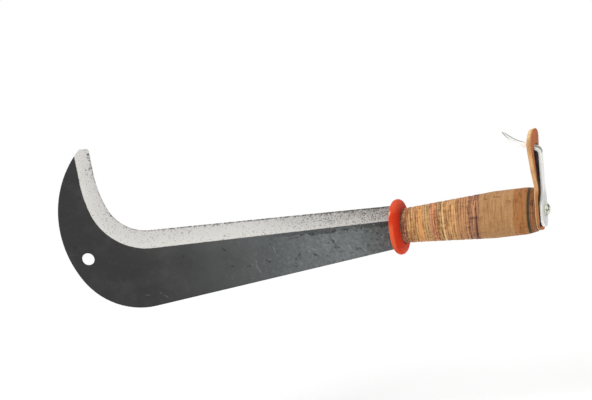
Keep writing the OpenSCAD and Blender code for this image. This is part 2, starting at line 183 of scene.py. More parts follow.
# one face of the blade, with the bevel falling to the edge
for vert in edge:
    vert.co.y = -EDGE_T / 2
for vert in bevel + outer:
    vert.co.y = -half_t(vert.co.x)
fall = (half_t(bevel[-1].co.x) - EDGE_T / 2) / BEVEL_BEAK
for vert in tip:
    vert.co.y = -EDGE_T / 2 - fall * (vert.co - edge[-1].co).dot(left(heading))
bmesh.ops.bridge_loops(shape, edges=chain(shape, edge) + chain(shape, bevel))
bmesh.ops.bridge_loops(shape, edges=chain(shape, bevel[:-1]) + chain(shape, outer))
bmesh.ops.contextual_create(shape, geom=[bevel[-2], bevel[-1], outer[-1]])
bmesh.ops.contextual_create(shape, geom=chain(shape, [bevel[-1], edge[-1], *tip]))
for line in chain(shape, bevel):
    line.smooth = False
edge_at = [v.co.copy() for v in edge]
ground_rows = [shape.edges.get(pair) for pair in zip(edge, bevel)]
scale_rows = [shape.edges.get(pair) for pair in zip(bevel[:-1], outer)]
bmesh.ops.subdivide_edges(shape, edges=ground_rows + scale_rows, cuts=FACE_CUTS, use_grid_fill=True)
run_at = [0.0]
for a, b in zip(edge_at, edge_at[1:]):
    run_at.append(run_at[-1] + (b - a).length)


def by_edge_at(point):
    """How far along the edge a point lies, how far from it, and how far inside the ground bevel."""
    best = None
    for k, (a, b) in enumerate(zip(edge_at, edge_at[1:])):
        ahead = (b - a).normalized()
        past = min(max((point - a).dot(ahead), 0.0), (b - a).length)
        away = point - a - past * ahead
        away.y = 0
        if best is None or away.length < best[1]:
            width = widths[k] + (widths[k + 1] - widths[k]) * past / (b - a).length
            best = (run_at[k] + past, away.length, width - away.length)
    return Vector(best)


# the hammered faces are a little wavy; the far one mirrors this one
for vert in shape.verts:
    by_edge = by_edge_at(vert.co)
    vert[edge_way] = by_edge * MM
    if by_edge.z < -1 and not vert.is_boundary:
        vert.co.y += WAVY * noise.noise(vert.co / WAVE_LEN)
sheared = bmesh.ops.extrude_edge_only(shape, edges=[e for e in shape.edges if e.is_boundary])["geom"]
for vert in verts_of(sheared):
    vert.co.y = 0
bmesh.ops.mirror(shape, geom=whole(shape), matrix=Matrix.Identity(4), merge_dist=WELD, axis="Y")
bmesh.ops.recalc_face_normals(shape, faces=shape.faces)


def corners(shape, angle, chosen=lambda edge: True):
    """The edges whose faces meet at more than an angle."""
    return [e for e in shape.edges if len(e.link_faces) == 2 and chosen(e)
            and e.calc_face_angle() > radians(angle)]


def soften(shape, edges, radius, segments=2):
    """Rounds edges off."""
    bmesh.ops.bevel(shape, geom=edges, offset=radius, segments=segments, affect="EDGES",
                    profile=0.5, material=-1, clamp_overlap=True)


def at_outline(line):
    """True for an edge where a face meets the plate's sheared side, clear of the guard."""
    return all(abs(v.co.y) > FACE_LEAST_Y and v.co.x < HEEL_X - 1 for v in line.verts)


soften(shape, corners(shape, 60, at_outline), BLADE_SOFT_R)

# outputs of an Attribute node, and the colour sockets of a Mix node
STORED_VECTOR, STORED_NUMBER = 1, 2
MIX_FROM, MIX_TO, MIX_COLOUR = 6, 7, 2


class Tone:
    """A socket in a finish. Sums and products of it add Math nodes, and node() adds any other node."""

    def __init__(self, socket):
        self.socket = socket

    def node(self, kind, settings, sockets, output=0):
        made = self.socket.id_data.nodes.new("ShaderNode" + kind)
        for name, value in settings.items():
            setattr(made, name, value)
        feed(made, sockets)
        return Tone(made.outputs[output])

    def math(self, operation, first, second):
        return self.node("Math", {"operation": operation}, {0: first, 1: second})

    def __add__(self, other):
        return self.math("ADD", self, other)

    __radd__ = __add__

    def __sub__(self, other):
        return self.math("SUBTRACT", self, other)

    def __rsub__(self, other):
        return self.math("SUBTRACT", other, self)

    def __mul__(self, other):
        return self.math("MULTIPLY", self, other)

    __rmul__ = __mul__

    def __truediv__(self, other):
        return self.math("DIVIDE", self, other)

    def __rtruediv__(self, other):
        return self.math("DIVIDE", other, self)

    def size(self):
        """The value without its sign."""
        return self.math("ABSOLUTE", self, 0.0)

    def rise(self, low=0.0, high=1.0, form="SMOOTHSTEP"):
        """0 below low and 1 above high, with a soft step between them."""
        return self.node("MapRange", {"interpolation_type": form},
                         {"Value": self, "From Min": low, "From Max": high})

    def rise_mm(self, low, high, form="SMOOTHSTEP"):
        """The same step between two lengths in millimetres."""
        return self.rise(low * MM, high * MM, form)

    def blend(self, colour, other):
        """From a colour to another one, both as seen from 0 to 255, as this goes from 0 to 1."""
        colour, other = (c if isinstance(c, Tone) else paint(*c) for c in (colour, other))
        return self.node("Mix", {"data_type": "RGBA"}, {0: self, MIX_FROM: colour, MIX_TO: other}, MIX_COLOUR)

    def coated(self, *coats):
        """This colour with others laid over it in turn, each by its weight from 0 to 1."""
        look = self
        for weight, colour in coats:
            look = weight.blend(look, colour)
        return look

    def parts(self):
        """X, Y and Z of a vector."""
        return [self.node("SeparateXYZ", {}, {0: self}, axis) for axis in range(3)]

    def stored(self, name, output=STORED_VECTOR):
        """What the mesh stores at each of its points under a name."""
        return self.node("Attribute", {"attribute_name": name}, {}, output)

    def vector(self, operation, sockets, output=0):
        return self.node("VectorMath", {"operation": operation}, sockets, output)

    def away_from(self, spot):
        """The distance from a point."""
        return self.vector("DISTANCE", {0: self, 1: spot}, 1)

    def scratch(self, x, z, end_x, end_z, half_w):
        """1 along a straight mark on the tool's side, given in millimetres, and 0 away from it."""
        along = Vector((end_x - x, 0, end_z - z)) * MM
        flat = self.vector("MULTIPLY_ADD", {0: self, 1: (1, 0, 1), 2: (-x * MM, 0, -z * MM)})
        share = self.vector("DOT_PRODUCT", {0: flat, 1: along / along.length_squared}, 1)
        nearest = self.vector("SCALE", {0: along, "Scale": share.rise(form="LINEAR")})
        return 1 - flat.away_from(nearest).rise_mm(half_w * 0.4, half_w)

    def scratches(self, marks):
        """1 along each of some marks."""
        return sum(self.scratch(*mark) for mark in marks).rise()

    def mottle(self, per_metre, detail, roughness):
        """Soft noise from 0 to 1, with so many spots to the metre along every axis or each of them."""
        pace = per_metre if isinstance(per_metre, tuple) else (per_metre,) * 3
        spread = self.vector("MULTIPLY", {0: self, 1: pace})
        return self.node("TexNoise", {},
                         {"Vector": spread, "Scale": 1.0, "Detail": detail, "Roughness": roughness})


def feed(node, sockets):
    """Sets or links a node's inputs."""
    for name, value in sockets.items():
        if isinstance(value, Tone):
            node.id_data.links.new(value.socket, node.inputs[name])
        else:
            node.inputs[name].default_value = value


def paint(red, green, blue):
    """A colour as it is seen, from 0 to 255, in the renderer's own light units."""
    seen = [c / 255 for c in (red, green, blue)]
    return (*[c / 12.92 if c < 0.04045 else ((c + 0.055) / 1.055) ** 2.4 for c in seen], 1.0)


def new_finish(name, **constants):
    """A finish with its shader, and the place of each point on the piece."""
    finish = bpy.data.materials.new(name)
    finish.use_nodes = True
    shader = finish.node_tree.nodes["Principled BSDF"]
    feed(shader, {socket.replace("_", " "): value for socket, value in constants.items()})
    place = finish.node_tree.nodes.new("ShaderNodeTexCoord").outputs["Object"]
    return finish, shader, Tone(place)


def bump(height, distance, strength):
    """A surface that follows a height."""
    return height.node("Bump", {}, {"Height": height, "Distance": distance * MM, "Strength": strength})


def smooth_over(shape, angle):
    """Smooth faces with crisp edges over an angle."""
    for face in shape.faces:
        face.smooth = True
    for line in corners(shape, angle):
        line.smooth = False


def put_in_scene(shape, name):
    """Makes a finished shape an object."""
    mesh = bpy.data.meshes.new(name)
    shape.to_mesh(mesh)
    shape.free()
    made = bpy.data.objects.new(name, mesh)
    bpy.context.scene.collection.objects.link(made)
    return made


def fit_piece(shape, name, finish, slot, nodes, angle):
    """Makes a shape a piece of the tool in place of its solids, with crisp edges over an angle."""
    bmesh.ops.scale(shape, vec=(MM, MM, MM), verts=shape.verts)
    smooth_over(shape, angle)
    piece = put_in_scene(shape, name)
    piece.data.materials.append(finish)
    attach(piece, "root")
    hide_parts(*nodes)
    return piece


blade_finish, shader, place = new_finish("forged_and_ground_steel", Specular_IOR_Level=0.12)
edge_place = place.stored("edge_way")
forward, aside, _ = place.parts()
edge_run, from_edge, inside = edge_place.parts()
fine = place.mottle(420, 5, 0.65)
cloud = place.mottle((30, 30, 34), 5, 0.65)
ground = (inside + (fine - 0.5) * 0.0008).rise_mm(-0.1, 0.1)

# forge scale: near black at the nose, worn to a bluish grey towards the guard, darker along the bevel
below = inside * -1
ragged = below + (cloud - 0.5) * 0.005 + (fine - 0.5) * 0.003
darker = (1 - ragged.rise_mm(2.8, 4)) * forward.rise_mm(-120, -75)
worn = forward.rise_mm(-245, -60, "LINEAR") - forward.rise_mm(-45, -12) * 0.25
worn = worn + (1 - below.rise_mm(1, 18)) * (1 - forward.rise_mm(-150, -100)) * 0.1
worn = (worn - darker * 0.32 + (cloud - 0.5) * 0.28).rise(form="LINEAR")
hazy = place.mottle((24, 24, 30), 4, 0.6).rise(0.45, 0.7) * (1 - forward.rise_mm(-200, -130))
flecks = place.mottle(330, 5, 0.72)
flecked = forward.rise_mm(-170, -40) * 0.86 + forward.rise_mm(-70, -30) * 0.3 + 0.06
rubbed = place.mottle((70, 70, 160), 5, 0.65).rise(0.55, 0.75) * forward.rise_mm(-120, -60)
speckled = below.rise_mm(1.8, 3) * (1 - below.rise_mm(4.2, 6)) * forward.rise_mm(-120, -85)
pitted = place.mottle(160, 4, 0.7) + forward.rise_mm(-160, -50) * 0.03 + speckled * 0.09
pitted = pitted.rise(0.63, 0.71)
pale_mark, dark_mark = place.scratches(PALE_MARKS), place.scratches(DARK_MARKS)
# the sheared edges of the plate and the wall of its hole lie deeper than the faces; they are painted near black
# as shade
sunk = half_t(forward / MM) * MM - aside.size()
scale_tone = (worn * worn).blend(SCALE_BLACK, SCALE_GREY).coated(
    (hazy * 0.22, SCALE_HAZE),
    (flecks.rise(0.52, 0.72) * flecked * 0.45, FLECK_PALE),
    (flecks.rise(0.50, 0.34) * flecked * 0.55, FLECK_DARK),
    (rubbed * 0.35, RUBBED_GREY),
    (pale_mark * fine.rise(0.35, 0.65) * (worn * 0.4 + 0.05), SCRATCH_PALE),
    ((pitted + dark_mark * fine.rise(0.62, 0.4)).rise() * 0.7, PIT_BLACK),
    (sunk.rise_mm(0.2, 0.5) * 0.8, EDGE_SHADE_DARK),
)

# ground steel: near white, duller towards the edge and the guard, with dark pits where it is dull
across = from_edge / (from_edge + inside)
dull = forward.rise_mm(-125, -15, "LINEAR") * (1 - across * 0.6)
specks = place.mottle(800, 3, 0.7)
stroke = edge_place.mottle((900, 150, 0), 4, 0.7)
gathered = (place.mottle(90, 3, 0.6) - 0.5) * 0.22
steel_pits = (specks + gathered + (1 - from_edge.rise_mm(0.2, 3)) * 0.06 + dull * 0.11).rise(0.58, 0.68)
dashes = edge_place.mottle((260, 60, 0), 4, 0.7).rise(0.42, 0.55) * (1 - from_edge.rise_mm(0.5, 1.4))
chips = place.mottle(460, 4, 0.7).rise(0.5, 0.6) * (1 - from_edge.rise_mm(1.5, 4.5))
dinted = dashes * (forward.rise_mm(-230, -170) * 0.5 + 0.5) + chips * edge_run.rise_mm(264, 278)
step_line = 1 - inside.rise_mm(0.1, 0.7)
steel_tone = across.blend(STEEL_FRONT, STEEL_BACK).coated(
    (stroke.rise(0.3, 0.8) * 0.5, STEEL_STROKE),
    (dull * specks.rise(0.2, 0.55), STEEL_DULL),
    (steel_pits * 0.75, STEEL_PIT),
    ((dinted * 0.85 + step_line * 0.25).rise(), STEEL_CHIP),
)
feed(shader, {
    "Base Color": ground.blend(scale_tone, steel_tone),
    "Metallic": ground * 0.5,
    "Roughness": 0.62 - ground * 0.18 + (fine - 0.5) * 0.2,
    "Normal": bump(fine * 0.6 + cloud + stroke * ground * 0.3 - pitted * 0.6 - dark_mark * 0.5, 0.25, 0.6),
})
blade = fit_piece(shape, "forged_blade", blade_finish, "forged_steel", ["blade"], 35)


def turn_round(shape, steps, axis=(1, 0, 0)):
    """Turns a profile right round an axis, which is the handle's if none is given."""
    bmesh.ops.remove_doubles(shape, verts=shape.verts, dist=WELD)
    bmesh.ops.spin(shape, geom=shape.verts[:] + shape.edges[:], cent=(0, 0, 0), axis=axis,
                   angle=2 * pi, steps=steps, use_merge=True)
    bmesh.ops.remove_doubles(shape, verts=shape.verts, dist=WELD)
    bmesh.ops.recalc_face_normals(shape, faces=shape.faces)


# the hanging hole is drilled through the nose and its rims are broken with a file
hole_c = nose_c + (NOSE_R - HOLE_INSET) * way(HOLE_DIR)
lip = half_t(hole_c.x) - RIM_BREAK
flared = HOLE_R + DRILL_REACH - lip
shape = bmesh.new()
draw_through(shape, shape.verts.new((0, -DRILL_REACH, 0)), (
    (flared, -DRILL_REACH, 0), (HOLE_R, -lip, 0),
    (HOLE_R, lip, 0), (flared, DRILL_REACH, 0), (0, DRILL_REACH, 0)))
turn_round(shape, HOLE_STEPS, (0, 1, 0))
bmesh.ops.translate(shape, vec=hole_c, verts=shape.verts)
bmesh.ops.scale(shape, vec=(MM, MM, MM), verts=shape.verts)
drill = put_in_scene(shape, "drill")
drilling = blade.modifiers.new("drilling", "BOOLEAN")
drilling.object, drilling.operation, drilling.solver = drill, "DIFFERENCE", "EXACT"
drilled = bpy.data.meshes.new_from_object(blade.evaluated_get(bpy.context.evaluated_depsgraph_get()))
blade.modifiers.clear()
bpy.data.objects.remove(drill)
shape = bmesh.new()
shape.from_mesh(drilled)
bmesh.ops.remove_doubles(shape, verts=shape.verts, dist=DRILL_WELD * MM)
bmesh.ops.dissolve_degenerate(shape, edges=shape.edges, dist=DRILL_CLEAN * MM)
edge_way = shape.verts.layers.float_vector["edge_way"]
for vert in shape.verts:
    if (vert.co / MM - hole_c).xz.length < HOLE_R + 2 * RIM_BREAK:
        vert[edge_way] = by_edge_at(vert.co / MM) * MM
smooth_over(shape, 35)
shape.to_mesh(blade.data)
shape.free()
bpy.data.meshes.remove(drilled)


# Tang.
# The blade's own steel, drawn down to a flat bar that runs through the whole handle, with a round end
# that passes through the hook's plate. It is hidden by the guard and the leather.
TANG_H, TANG_T, TANG_SOFT_R = 9.0, 5.0, 0.5
TANG_END_D, TANG_END_LEN, TANG_END_OUT, TANG_END_STEPS = 4.8, 5.0, 2.4, 32
BUTT_X, BUTT_TILT = 115.9, 4.3
shape = bmesh.new()
tang_end = BUTT_X - TANG_H / 2 * tan(radians(BUTT_TILT))
bmesh.ops.create_cube(shape, size=1.0)
bmesh.ops.scale(shape, vec=(tang_end - HEEL_X, TANG_T, TANG_H), verts=shape.verts)
bmesh.ops.translate(shape, vec=((tang_end + HEEL_X) / 2, 0, 0), verts=shape.verts)
soften(shape, shape.edges[:], TANG_SOFT_R)
end_place = Matrix.Translation((tang_end + TANG_END_OUT, 0, 0)) @ Matrix.Rotation(pi / 2, 4, "Y")
bmesh.ops.create_cone(shape, cap_ends=True, segments=TANG_END_STEPS, radius1=TANG_END_D / 2,
                      radius2=TANG_END_D / 2, depth=TANG_END_LEN, matrix=end_place)
fit_piece(shape, "tang", blade_finish, "forged_steel", ["blade"], 35)


# Guard.
# A moulded red ring with a fully round rim, pushed over the tang against the blade's shoulder, where
# it sits a little crooked. The leather starts in a shallow seat in its rear face.
GUARD_D, GUARD_T, SEAT_R, TANG_HOLE_R = 45.2, 7.9, 14.3, 5.2
TANG_GAP = 0.15
CROOKED, DROPPED = 0.125, 0.5
UNEVEN, GUARD_UNEVEN_LEN = 0.12, 9.0
RING_STEPS, RING_FACE_STEPS, RING_RIM_STEPS, RING_SEAT_STEPS = 128, 6, 20, 2
HIGHLIGHT_SPOT = Vector((-8.0, -14.0, 15.0))
RED_SHADED_REAR, RED_FRONT, RED_BLUSH = (192, 50, 26), (210, 62, 32), (226, 84, 44)
RED_MIDWAY, RED_ENDS, RED_LIT_RIM = (214, 98, 58), (210, 88, 58), (226, 124, 88)
RED_HIGHLIGHT, RED_DIRT = (240, 196, 146), (128, 36, 24)
shape = bmesh.new()
rim_r = GUARD_T / 2
bore_half_t, bore_half_h = TANG_T / 2 + TANG_GAP, TANG_H / 2 + TANG_GAP
front = shape.verts.new((HEEL_X, 0, TANG_HOLE_R))
profile = draw_line(shape, front, (HEEL_X, 0, GUARD_D / 2 - rim_r), RING_FACE_STEPS)
profile = draw_arc(shape, profile[-1], (HEEL_X + rim_r, 0, GUARD_D / 2 - rim_r), -180, RING_RIM_STEPS)
seat = (HEEL_X + GUARD_T, 0, SEAT_R), (0, 0, SEAT_R), (0, 0, TANG_HOLE_R), (HEEL_X, 0, TANG_HOLE_R)
draw_through(shape, profile[-1], seat, RING_SEAT_STEPS)


def fit_tang(shape):
    """Squares a round hole up to the slot in which the flat tang fits."""
    for vert in shape.verts:
        if Vector((vert.co.y, vert.co.z)).length < TANG_HOLE_R + 0.01:
            past = max(abs(vert.co.y) / bore_half_t, abs(vert.co.z) / bore_half_h)
            vert.co.y, vert.co.z = vert.co.y / past, vert.co.z / past


def roughen(vert, inner_r, amount, spot):
    """Moves a point that lies outside a radius in or out, by noise at a spot."""
    out = Vector((0, vert.co.y, vert.co.z))
    if out.length > inner_r:
        vert.co += out.normalized() * amount * noise.noise(spot)


turn_round(shape, RING_STEPS)
fit_tang(shape)
for vert in shape.verts:
    roughen(vert, SEAT_R + 1, UNEVEN, vert.co / GUARD_UNEVEN_LEN)
    vert.co.x += CROOKED * vert.co.y
    vert.co.z -= DROPPED
guard_finish, shader, place = new_finish("red_moulding", Specular_IOR_Level=0.05)
forward, aside, height = place.parts()
to_front = aside * CROOKED - forward
# painted shade: the red darkens from the front of the ring towards its rear, which faces the handle
ahead = to_front.rise_mm(0.5, 6.5)
blush = place.mottle(60, 3, 0.6)
skin = place.mottle(900, 3, 0.6)
midway = height.rise_mm(-18, -10) * (1 - height.rise_mm(4, 10))
ends = 1 - height.rise_mm(-22, -12) + height.rise_mm(13, 21)
# painted light: a paler orange on the front of the rim, in patches
lit_rim = to_front.rise_mm(4.2, 5.6) * place.mottle(200, 4, 0.7).rise(0.35, 0.6)
# painted highlight: a near white spot on the upper front of the rim
painted_highlight = (1 - place.away_from(HIGHLIGHT_SPOT * MM).rise_mm(1.2, 4.2)) * skin.rise(0.25, 0.6)
dirt = place.mottle(260, 4, 0.7).rise(0.62, 0.74)
feed(shader, {
    "Base Color": ahead.blend(RED_SHADED_REAR, RED_FRONT).coated(
        (ahead * blush.rise(0.4, 0.7) * 0.5, RED_BLUSH),
        (to_front.rise_mm(0.4, 2.4) * midway * 0.7, RED_MIDWAY),
        (ends * 0.7, RED_ENDS),
        (lit_rim * 0.45, RED_LIT_RIM),
        (painted_highlight * 0.85, RED_HIGHLIGHT),
        (dirt * 0.4, RED_DIRT),
    ),
    "Roughness": 0.6 + (skin - 0.5) * 0.25,
    "Normal": bump(skin + blush * 0.6, 0.12, 0.6),
})
fit_piece(shape, "guard_ring", guard_finish, "red_guard", ["guard"], 35)


# Leather washers.
# Rings cut from different hides, threaded on the tang, pressed together and turned to shape on it. They
# square up to the crooked guard, and lean and turn a little towards the butt, as the hook's plate does.
THIN, BROWN, PALE, ORANGE, BLACK, RUSSET = 1.95, 2.7, 4.8, 5.4, 2.9, 4.0
STACK = (
    (1, THIN, "umber"), (2, THIN, "plum"), (5, THIN, "tan"), (2, THIN, "honey"), (3, THIN, "olive"),
    (1, THIN, "plum"), (2, THIN, "salmon"), (2, THIN, "olive"), (1, THIN, "straw"), (5, THIN, "tan"),
    (4, THIN, "fawn"), (1, BROWN, "brown"), (1, BROWN, "umber"), (1, BROWN, "brown"), (1, BROWN, "umber"),
    (6, PALE, "pale"), (2, ORANGE, "orange"), (1, BLACK, "black"), (1, RUSSET, "russet"),
)
HIDES = {
    "tan": ((204, 156, 104), (146, 99, 60)), "fawn": ((184, 134, 92), (130, 87, 56)),
    "honey": ((209, 151, 95), (162, 106, 61)), "olive": ((196, 153, 103), (122, 86, 54)),
    "plum": ((190, 136, 102), (112, 70, 57)), "salmon": ((208, 142, 98), (140, 86, 60)),
    "straw": ((230, 192, 140), (198, 152, 104)), "brown": ((188, 137, 95), (100, 64, 54)),
    "umber": ((168, 119, 86), (82, 52, 47)), "pale": ((174, 131, 88), (138, 97, 60)),
    "orange": ((164, 111, 66), (122, 76, 40)), "black": ((72, 58, 41), (46, 37, 26)),
    "russet": ((144, 94, 62), (62, 35, 23)),
}
CALM, CALM_EDGE = {"pale": 0.6, "orange": 0.75}, 0.3
DARKER_BEHIND = {"brown": 1.3, "umber": -1.0, "russet": -0.8}
PALE_HIDE_MARKS = ((70.4, 16.4, 73.0, 15.8, 0.5), (78.6, 16.9, 84.4, 16.5, 0.4), (90.2, 13.6, 92.6, 12.6, 0.55))
HIDE_MARK, BLACK_SEAM = (104, 66, 36), (176, 140, 84)
GRIP_FRONT_R, GRIP_REAR_R, GRIP_TAPER_LEN = 13.7, 18.9, 77.0
ROUND_LEN, ROUND_R = 16.0, 50.0
LEAN_START, LEAN_LEN, CROOKED_LEN = 32.0, 30.0, 9.0
TURNED, TURN_START, TURN_LEN = 4.6, 60.0, 48.0
# rows of points in from each side of a washer, with their depth in grooves, and shares across its crown
SEAM_ROWS, CROWN_ROWS = ((0.0, -2.2), (0.08, -0.9), (0.24, 0.0)), (0.35, 0.5, 0.65)
PROUD, GROOVE, GROOVE_VARIES, SHADE_VARIES, SEAM_VARIES = 0.16, 0.16, 0.1, 0.34, 0.2
ALONG_UNEVEN_LEN, ROUND_UNEVEN_LEN = 3.0, 6.0
WASHER_STEPS, UNROLLED_R = 96, 16.0


def clamp(value):
    """A value kept from 0 to 1."""
    return min(1.0, max(0.0, value))


def grip_r(x):
    """Radius of the handle, which widens and is then rounded at the butt."""
    widened = GRIP_FRONT_R + (GRIP_REAR_R - GRIP_FRONT_R) * clamp(x / GRIP_TAPER_LEN)
    past = max(0.0, x - (BUTT_X - ROUND_LEN))
    return widened - ROUND_R + sqrt(ROUND_R ** 2 - past ** 2)


def lean(vert):
    """Leans and turns a point of the stack as its washer does; the first ones follow the guard."""
    tilt = BUTT_TILT * clamp((vert.co.x - LEAN_START) / LEAN_LEN)
    turn = TURNED * clamp((vert.co.x - TURN_START) / TURN_LEN)
    crooked = CROOKED * clamp(1 - vert.co.x / CROOKED_LEN) + tan(radians(turn))
    vert.co.x += vert.co.z * tan(radians(tilt)) + vert.co.y * crooked


def leather_finish(tone, face, fibre):
    """Cut and rubbed leather: thin layers along the washer's edge, crossed by fibres and dark seams."""
    finish, shader, place = new_finish(tone + "_leather", Specular_IOR_Level=0.12)
    calm = CALM.get(tone, 1.0)
    _, aside, height = place.parts()
    seam, shade, threaded = (
        place.stored(name, STORED_NUMBER) for name in ("from_seam", "hide_shade", "threaded"))
    round_way = place.math("ARCTAN2", aside, height)
    unrolled = place.node("CombineXYZ", {}, {0: threaded, 1: round_way * (UNROLLED_R * MM), 2: 0.0})
    layers = unrolled.mottle((900, 80, 0), 5, 0.7)
    bands = unrolled.mottle((430, 50, 0), 4, 0.7)
    fibres = unrolled.mottle((70, 480, 0), 5, 0.7)
    patches = unrolled.mottle((400, 360, 0), 5, 0.7)
    worn = layers.rise(0.36, 0.66) * 0.9 + bands.rise(0.38, 0.62) * 0.9 + fibres.rise(0.42, 0.7) * 0.6
    worn = (worn + patches.rise(0.38, 0.66) * 0.35 + shade - 0.88) * calm
    lit = unrolled.mottle((700, 60, 0), 5, 0.75).rise(0.56, 0.66) * calm
    nicks = unrolled.mottle((620, 380, 0), 5, 0.75).rise(0.56, 0.65) * calm
    scored = unrolled.mottle((150, 700, 0), 5, 0.75).rise(0.57, 0.66) * calm * calm
    closed = 1 - seam.rise_mm(0.04, 0.6 if tone == "black" else 0.4)
    closed = closed * patches.rise(0.25, 0.6) * (0.15 if tone in CALM else 0.8)
    look = worn.rise(form="LINEAR").blend(face, fibre).coated(
        (lit * 0.65, [min(255, c * 1.14 + 12) for c in face]),
        (nicks * 0.6, [c * 0.6 for c in fibre]),
        (scored * 0.65, [c * 0.65 for c in fibre]),
        (closed, BLACK_SEAM if tone == "black" else [c * 0.5 for c in fibre]),
    )
    if tone == "pale":
        near_side = (aside * -1).rise_mm(0, 4)
        look = (place.scratches(PALE_HIDE_MARKS) * near_side * 0.55).blend(look, HIDE_MARK)
    feed(shader, {
        "Base Color": look,
        "Roughness": 0.62 + (fibres - 0.5) * 0.25,
        "Normal": bump(layers * 0.5 + fibres * 0.6 - nicks - scored * 0.5, 0.2 * calm, 0.6),
    })
    return finish


hides = {tone: leather_finish(tone, *colours) for tone, colours in HIDES.items()}
washers = [(thick, tone) for count, thick, tone in STACK for _ in range(count)]
x = 0.0
for number, (thick, tone) in enumerate(washers, 1):
    shape = bmesh.new()
    from_seam, hide_shade, threaded = (
        shape.verts.layers.float.new(name) for name in ("from_seam", "hide_shade", "threaded"))
    # no two washers are alike: a sine of the number stands for chance, at another pace for each measure
    rough = CALM_EDGE if tone in CALM else 1.0
    proud = rough * PROUD * sin(number * 4.137)
    groove = rough * (GROOVE + GROOVE_VARIES * sin(number * 2.71))
    hide_tone = rough * SHADE_VARIES * sin(number * 12.9898)
    seam_off = rough * SEAM_VARIES * (1 + sin(number * 7.77))
    rows = [(step, depth * groove) for step, depth in SEAM_ROWS]
    rows += [(thick * share, proud * sin(pi * share)) for share in CROWN_ROWS]
    rows += [(thick - step, depth * groove) for step, depth in reversed(SEAM_ROWS)]
    first = shape.verts.new((x, 0, TANG_HOLE_R))
    edge_row = draw_through(shape, first, [(x + step, 0, grip_r(x + step) + rise) for step, rise in rows])
    for vert, (step, _) in zip(edge_row, rows):
        vert[from_seam] = (min(step, thick - step) + seam_off) * MM
        vert[hide_shade] = hide_tone + DARKER_BEHIND.get(tone, 0.0) * (step / thick - 0.5)
    draw_through(shape, edge_row[-1], [(x + thick, 0, TANG_HOLE_R), first.co])
    turn_round(shape, WASHER_STEPS)
    fit_tang(shape)
    for vert in shape.verts:
        along, aside, height = vert.co
        spot = Vector((along / ALONG_UNEVEN_LEN, aside / ROUND_UNEVEN_LEN, height / ROUND_UNEVEN_LEN))
        roughen(vert, SEAT_R - 4, rough * UNEVEN, spot)
        vert[threaded] = vert.co.x * MM
        lean(vert)
    fit_piece(shape, "leather_washer_%02d" % number, hides[tone], tone + "_leather",
              ["washer_%02d" % number], 80)
    x += thick


# Tongue.
# The last washer: thick sole leather with a tab that stands up beside the handle, flesh side forward. Its
# edges are rubbed round, it is twisted a little, the plate presses into it, and the hook goes through it.
TONGUE_T, TONGUE_W, TONGUE_ROOT_W, TONGUE_H, TONGUE_END_H = 4.0, 32.0, 30.0, 66.5, 9.5
TONGUE_BEND_H, TONGUE_BEND_R, TONGUE_SOFT_R, DISC_TRIM = 18.5, 60.0, 1.5, 0.2
SLOT_HALF_W, SLOT_LOW, SLOT_HIGH = 4.9, 49.6, 54.5
TWIST_EASED, TWIST_TOP, BOW, LEANT, SKIVED = 1.6, 6.5, 0.8, 0.5, 0.5
EASE_START, EASE_LEN, TWIST_START, TWIST_LEN = 14.0, 10.0, 24.0, 32.0
TONGUE_UNEVEN, TONGUE_UNEVEN_LEN = 0.25, 14.0
PLATE_R, CUPPED = 14.4, 0.9
PRESS_TOP, PRESS_FADE_H, PRESS_SIDE, PRESS_FADE_W = 26.0, 10.0, 15.5, 2.0
DISC_STEPS, FLANK_STEPS, ARCH_STEPS = 60, 12, 24
CUT_HEIGHTS = (-14, -9, -bore_half_h, 0, bore_half_h, 9, 14, *range(18, 66, 3), SLOT_LOW, SLOT_HIGH)
CUT_SIDES = (-12, -8, -SLOT_HALF_W, -bore_half_t, bore_half_t, SLOT_HALF_W, 8, 12)
GRAIN_LIGHT, GRAIN_DARK, GRAIN_PEBBLE = (196, 116, 70), (164, 92, 52), (128, 68, 38)
FLESH_LIGHT, FLESH_DARK = (216, 176, 130), (182, 138, 96)
CUT_FRONT, CUT_REAR, CUT_LAYER, CUT_TOP = (211, 168, 120), (176, 118, 72), (158, 108, 66), (238, 208, 158)
CUT_STACK, CUT_STACK_FRONT = (162, 110, 67), (226, 186, 120)
TONGUE_NICK, PAINTED_SHADE_BLACK = (84, 50, 30), (16, 11, 9)
shape = bmesh.new()
on_tongue = shape.verts.layers.float_vector.new("on_tongue")
disc_r = (grip_r(BUTT_X) + grip_r(BUTT_X - TONGUE_T)) / 2 - DISC_TRIM
root_z = sqrt(disc_r ** 2 - (TONGUE_ROOT_W / 2) ** 2)
root_turn = degrees(atan2(TONGUE_ROOT_W / 2, root_z))
root = shape.verts.new((0, TONGUE_ROOT_W / 2, root_z))
outline = draw_arc(shape, root, (0, 0, 0), 360 - 2 * root_turn, DISC_STEPS, (-1, 0, 0))
shoulder_z = TONGUE_H - TONGUE_END_H
flank = draw_line(shape, outline[-1], (0, -TONGUE_W / 2, shoulder_z), FLANK_STEPS)
arch = [(0, -TONGUE_W / 2 * cos(turn), TONGUE_H - TONGUE_END_H * (1 - sin(turn)))
        for turn in ramp(0, pi, ARCH_STEPS)[:-1]]
draw_through(shape, flank[-1], [*arch, (0, TONGUE_W / 2, shoulder_z)])
bmesh.ops.contextual_create(shape, geom=shape.edges[:])


def cut_across(shape, axis, spots):
    """Cuts a flat shape through at some spots along an axis, so that it can bend there."""
    for spot in spots:
        bmesh.ops.bisect_plane(shape, geom=whole(shape), dist=0.0001, plane_co=spot * axis, plane_no=axis)


def in_window(face, half_w, low, high):
    """True for a face inside a square cut-out."""
    middle = face.calc_center_median()
    return abs(middle.y) < half_w and low < middle.z < high


